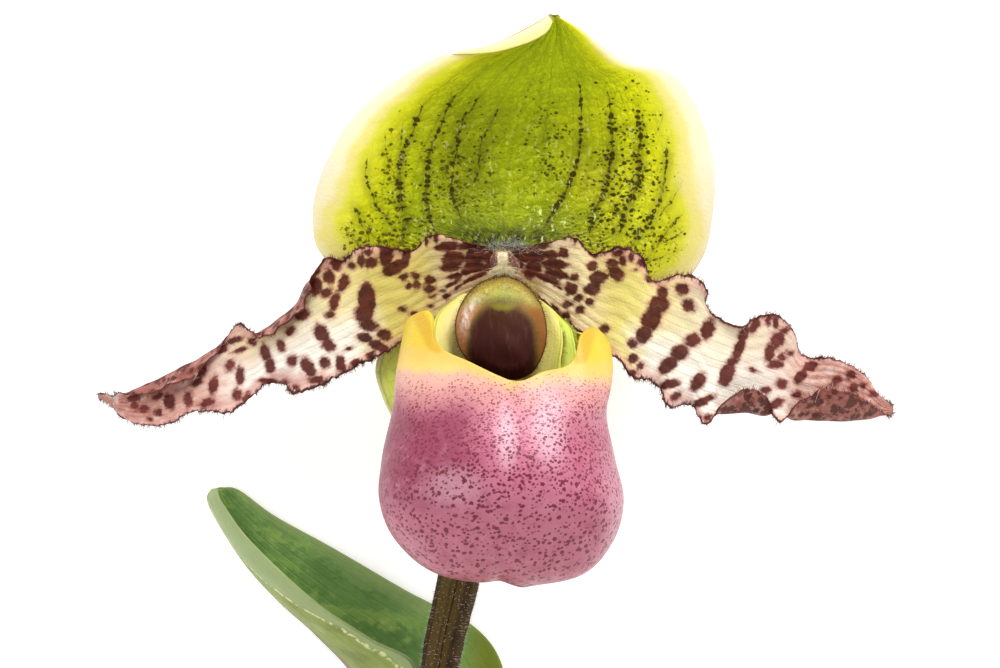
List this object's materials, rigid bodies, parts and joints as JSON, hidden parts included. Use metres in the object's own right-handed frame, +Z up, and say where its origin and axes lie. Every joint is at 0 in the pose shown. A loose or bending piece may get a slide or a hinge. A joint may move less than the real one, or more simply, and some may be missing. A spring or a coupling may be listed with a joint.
{
  "type": "paphiopedilum orchid",
  "caption": "Slipper orchid flower with a hollow pouch, spread petals and a hooded sepal, on a cut hairy stem with a folded leaf, lying on its back.",
  "frame": {"origin": "on the surface that the flower lies on, under the middle of its box", "axes": "+Z up, the way the flower faces; +Y from the cut stem to the tip of the dorsal sepal; +X to the right-hand petal as seen from above"},
  "size_m": [0.0831, 0.112, 0.0353],
  "materials": {
    "dorsal_sepal": "satin",
    "synsepal": "satin",
    "petal": "satin",
    "pouch": "satin",
    "column": "matte",
    "shield": "gloss",
    "stigma": "satin",
    "anther": "satin",
    "ovary": "matte",
    "bract": "matte",
    "stem": "matte",
    "leaf": "satin"
  },
  "bodies": {
    "root": {"dorsal_sepal": "dorsal_sepal", "synsepal": "synsepal", "left_petal": "petal", "right_petal": "petal", "lip_pouch": "pouch", "column": "column", "staminode_shield": "shield", "stigma": "stigma", "left_anther": "anther", "right_anther": "anther", "ovary": "ovary", "floral_bract": "bract", "stem": "stem", "leaf": "leaf"}
  },
  "joints": []
}
